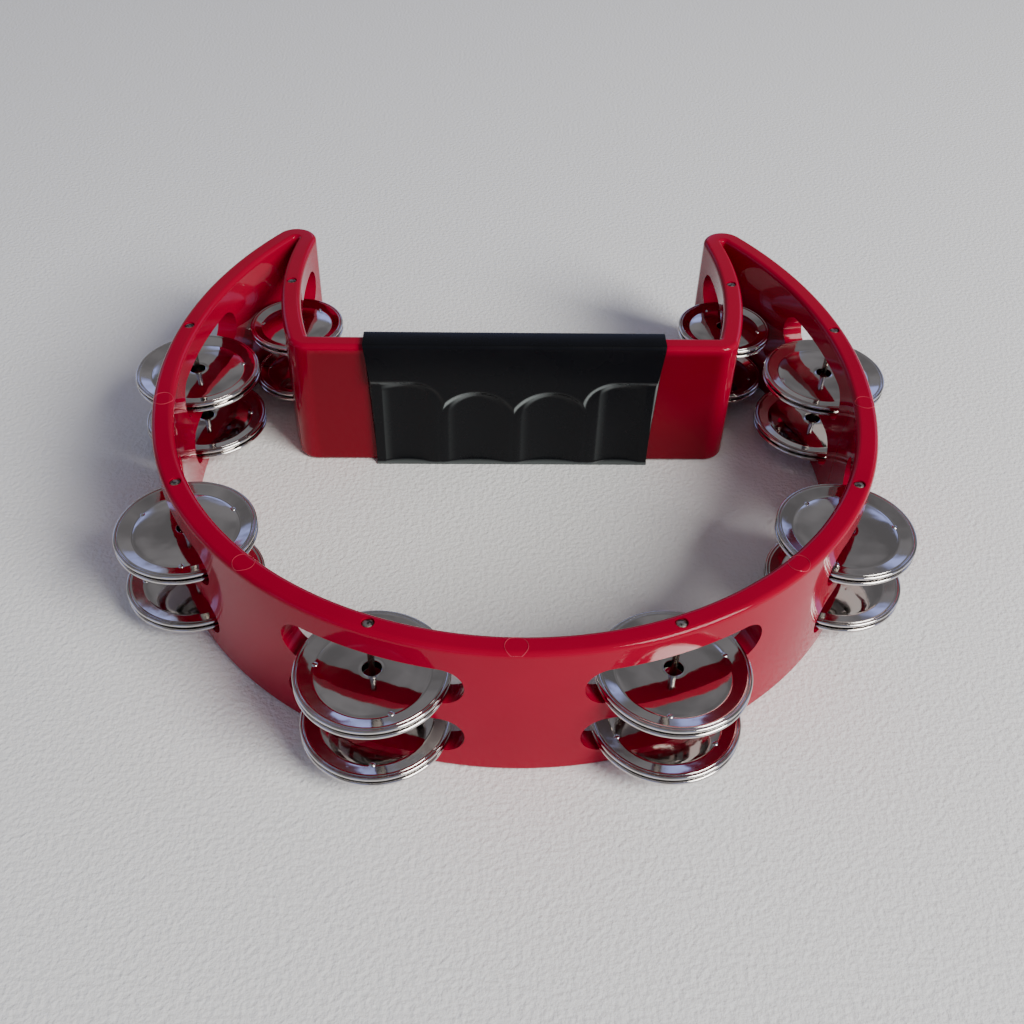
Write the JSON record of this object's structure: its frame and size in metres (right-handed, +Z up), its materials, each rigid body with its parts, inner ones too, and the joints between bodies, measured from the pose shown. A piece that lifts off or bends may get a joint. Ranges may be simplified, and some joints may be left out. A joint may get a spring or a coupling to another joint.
{
  "type": "tambourine",
  "caption": "Crescent hand tambourine: moulded frame with horns folded back to a straight handle, finger-grooved grip, and loose jingle pairs on nail pins in two rows of slots.",
  "frame": {"origin": "centre of the overall bounding box in plan, on the plane that the frame rests on", "axes": "+Z up off the table, -Y to the round front, +Y to the open rear with the horns and the handle, +X to the right"},
  "size_m": [0.2786, 0.2376, 0.0534],
  "materials": {
    "frame": "glossy moulded",
    "grip": "smooth moulded, slight sheen",
    "pin": "drawn nail wire",
    "jingle": "bright nickel plate on stamped steel"
  },
  "bodies": {
    "frame": {"front_band": "frame", "side_band_left": "frame", "side_band_right": "frame", "arm_left": "frame", "arm_right": "frame", "handle_bar": "frame", "grip": "grip", "pin_front_left": "pin", "pin_front_right": "pin", "pin_side_left": "pin", "pin_side_right": "pin", "pin_rear_left": "pin", "pin_rear_right": "pin", "pin_arm_left": "pin", "pin_arm_right": "pin"},
    "jingle_front_left_low_bottom": {"jingle_front_left_low_bottom": "jingle"},
    "jingle_front_left_low_top": {"jingle_front_left_low_top": "jingle"},
    "jingle_front_left_high_bottom": {"jingle_front_left_high_bottom": "jingle"},
    "jingle_front_left_high_top": {"jingle_front_left_high_top": "jingle"},
    "jingle_front_right_low_bottom": {"jingle_front_right_low_bottom": "jingle"},
    "jingle_front_right_low_top": {"jingle_front_right_low_top": "jingle"},
    "jingle_front_right_high_bottom": {"jingle_front_right_high_bottom": "jingle"},
    "jingle_front_right_high_top": {"jingle_front_right_high_top": "jingle"},
    "jingle_side_left_low_bottom": {"jingle_side_left_low_bottom": "jingle"},
    "jingle_side_left_low_top": {"jingle_side_left_low_top": "jingle"},
    "jingle_side_left_high_bottom": {"jingle_side_left_high_bottom": "jingle"},
    "jingle_side_left_high_top": {"jingle_side_left_high_top": "jingle"},
    "jingle_side_right_low_bottom": {"jingle_side_right_low_bottom": "jingle"},
    "jingle_side_right_low_top": {"jingle_side_right_low_top": "jingle"},
    "jingle_side_right_high_bottom": {"jingle_side_right_high_bottom": "jingle"},
    "jingle_side_right_high_top": {"jingle_side_right_high_top": "jingle"},
    "jingle_rear_left_low_bottom": {"jingle_rear_left_low_bottom": "jingle"},
    "jingle_rear_left_low_top": {"jingle_rear_left_low_top": "jingle"},
    "jingle_rear_left_high_bottom": {"jingle_rear_left_high_bottom": "jingle"},
    "jingle_rear_left_high_top": {"jingle_rear_left_high_top": "jingle"},
    "jingle_rear_right_low_bottom": {"jingle_rear_right_low_bottom": "jingle"},
    "jingle_rear_right_low_top": {"jingle_rear_right_low_top": "jingle"},
    "jingle_rear_right_high_bottom": {"jingle_rear_right_high_bottom": "jingle"},
    "jingle_rear_right_high_top": {"jingle_rear_right_high_top": "jingle"},
    "jingle_arm_left_low_bottom": {"jingle_arm_left_low_bottom": "jingle"},
    "jingle_arm_left_low_top": {"jingle_arm_left_low_top": "jingle"},
    "jingle_arm_left_high_bottom": {"jingle_arm_left_high_bottom": "jingle"},
    "jingle_arm_left_high_top": {"jingle_arm_left_high_top": "jingle"},
    "jingle_arm_right_low_bottom": {"jingle_arm_right_low_bottom": "jingle"},
    "jingle_arm_right_low_top": {"jingle_arm_right_low_top": "jingle"},
    "jingle_arm_right_high_bottom": {"jingle_arm_right_high_bottom": "jingle"},
    "jingle_arm_right_high_top": {"jingle_arm_right_high_top": "jingle"}
  },
  "joints": [
    {"name": "slide_front_left_low", "type": "slide", "parent": "frame", "child": "jingle_front_left_low_bottom", "axis": [0, 0, 1], "range_m": [0, 0.0096]},
    {"name": "spin_front_left_low", "type": "hinge", "parent": "jingle_front_left_low_bottom", "child": "jingle_front_left_low_top", "pos_m": [-0.04266, -0.09639, 0.00954], "axis": [0, 0, 1], "continuous": true},
    {"name": "slide_front_left_high", "type": "slide", "parent": "frame", "child": "jingle_front_left_high_bottom", "axis": [0, 0, 1], "range_m": [0, 0.0096]},
    {"name": "spin_front_left_high", "type": "hinge", "parent": "jingle_front_left_high_bottom", "child": "jingle_front_left_high_top", "pos_m": [-0.04266, -0.09639, 0.03114], "axis": [0, 0, 1], "continuous": true},
    {"name": "slide_front_right_low", "type": "slide", "parent": "frame", "child": "jingle_front_right_low_bottom", "axis": [0, 0, 1], "range_m": [0, 0.0096]},
    {"name": "spin_front_right_low", "type": "hinge", "parent": "jingle_front_right_low_bottom", "child": "jingle_front_right_low_top", "pos_m": [0.04266, -0.09639, 0.00954], "axis": [0, 0, 1], "continuous": true},
    {"name": "slide_front_right_high", "type": "slide", "parent": "frame", "child": "jingle_front_right_high_bottom", "axis": [0, 0, 1], "range_m": [0, 0.0096]},
    {"name": "spin_front_right_high", "type": "hinge", "parent": "jingle_front_right_high_bottom", "child": "jingle_front_right_high_top", "pos_m": [0.04266, -0.09639, 0.03114], "axis": [0, 0, 1], "continuous": true},
    {"name": "slide_side_left_low", "type": "slide", "parent": "frame", "child": "jingle_side_left_low_bottom", "axis": [0, 0, 1], "range_m": [0, 0.0096]},
    {"name": "spin_side_left_low", "type": "hinge", "parent": "jingle_side_left_low_bottom", "child": "jingle_side_left_low_top", "pos_m": [-0.10545, -0.03861, 0.00954], "axis": [0, 0, 1], "continuous": true},
    {"name": "slide_side_left_high", "type": "slide", "parent": "frame", "child": "jingle_side_left_high_bottom", "axis": [0, 0, 1], "range_m": [0, 0.0096]},
    {"name": "spin_side_left_high", "type": "hinge", "parent": "jingle_side_left_high_bottom", "child": "jingle_side_left_high_top", "pos_m": [-0.10545, -0.03861, 0.03114], "axis": [0, 0, 1], "continuous": true},
    {"name": "slide_side_right_low", "type": "slide", "parent": "frame", "child": "jingle_side_right_low_bottom", "axis": [0, 0, 1], "range_m": [0, 0.0096]},
    {"name": "spin_side_right_low", "type": "hinge", "parent": "jingle_side_right_low_bottom", "child": "jingle_side_right_low_top", "pos_m": [0.10545, -0.03861, 0.00954], "axis": [0, 0, 1], "continuous": true},
    {"name": "slide_side_right_high", "type": "slide", "parent": "frame", "child": "jingle_side_right_high_bottom", "axis": [0, 0, 1], "range_m": [0, 0.0096]},
    {"name": "spin_side_right_high", "type": "hinge", "parent": "jingle_side_right_high_bottom", "child": "jingle_side_right_high_top", "pos_m": [0.10545, -0.03861, 0.03114], "axis": [0, 0, 1], "continuous": true},
    {"name": "slide_rear_left_low", "type": "slide", "parent": "frame", "child": "jingle_rear_left_low_bottom", "axis": [0, 0, 1], "range_m": [0, 0.0096]},
    {"name": "spin_rear_left_low", "type": "hinge", "parent": "jingle_rear_left_low_bottom", "child": "jingle_rear_left_low_top", "pos_m": [-0.11687, 0.04715, 0.00954], "axis": [0, 0, 1], "continuous": true},
    {"name": "slide_rear_left_high", "type": "slide", "parent": "frame", "child": "jingle_rear_left_high_bottom", "axis": [0, 0, 1], "range_m": [0, 0.0096]},
    {"name": "spin_rear_left_high", "type": "hinge", "parent": "jingle_rear_left_high_bottom", "child": "jingle_rear_left_high_top", "pos_m": [-0.11687, 0.04715, 0.03114], "axis": [0, 0, 1], "continuous": true},
    {"name": "slide_rear_right_low", "type": "slide", "parent": "frame", "child": "jingle_rear_right_low_bottom", "axis": [0, 0, 1], "range_m": [0, 0.0096]},
    {"name": "spin_rear_right_low", "type": "hinge", "parent": "jingle_rear_right_low_bottom", "child": "jingle_rear_right_low_top", "pos_m": [0.11687, 0.04715, 0.00954], "axis": [0, 0, 1], "continuous": true},
    {"name": "slide_rear_right_high", "type": "slide", "parent": "frame", "child": "jingle_rear_right_high_bottom", "axis": [0, 0, 1], "range_m": [0, 0.0096]},
    {"name": "spin_rear_right_high", "type": "hinge", "parent": "jingle_rear_right_high_bottom", "child": "jingle_rear_right_high_top", "pos_m": [0.11687, 0.04715, 0.03114], "axis": [0, 0, 1], "continuous": true},
    {"name": "slide_arm_left_low", "type": "slide", "parent": "frame", "child": "jingle_arm_left_low_bottom", "axis": [0, 0, 1], "range_m": [0, 0.0096]},
    {"name": "spin_arm_left_low", "type": "hinge", "parent": "jingle_arm_left_low_bottom", "child": "jingle_arm_left_low_top", "pos_m": [-0.08392, 0.07819, 0.00954], "axis": [0, 0, 1], "continuous": true},
    {"name": "slide_arm_left_high", "type": "slide", "parent": "frame", "child": "jingle_arm_left_high_bottom", "axis": [0, 0, 1], "range_m": [0, 0.0096]},
    {"name": "spin_arm_left_high", "type": "hinge", "parent": "jingle_arm_left_high_bottom", "child": "jingle_arm_left_high_top", "pos_m": [-0.08392, 0.07819, 0.03114], "axis": [0, 0, 1], "continuous": true},
    {"name": "slide_arm_right_low", "type": "slide", "parent": "frame", "child": "jingle_arm_right_low_bottom", "axis": [0, 0, 1], "range_m": [0, 0.0096]},
    {"name": "spin_arm_right_low", "type": "hinge", "parent": "jingle_arm_right_low_bottom", "child": "jingle_arm_right_low_top", "pos_m": [0.08392, 0.07819, 0.00954], "axis": [0, 0, 1], "continuous": true},
    {"name": "slide_arm_right_high", "type": "slide", "parent": "frame", "child": "jingle_arm_right_high_bottom", "axis": [0, 0, 1], "range_m": [0, 0.0096]},
    {"name": "spin_arm_right_high", "type": "hinge", "parent": "jingle_arm_right_high_bottom", "child": "jingle_arm_right_high_top", "pos_m": [0.08392, 0.07819, 0.03114], "axis": [0, 0, 1], "continuous": true}
  ]
}
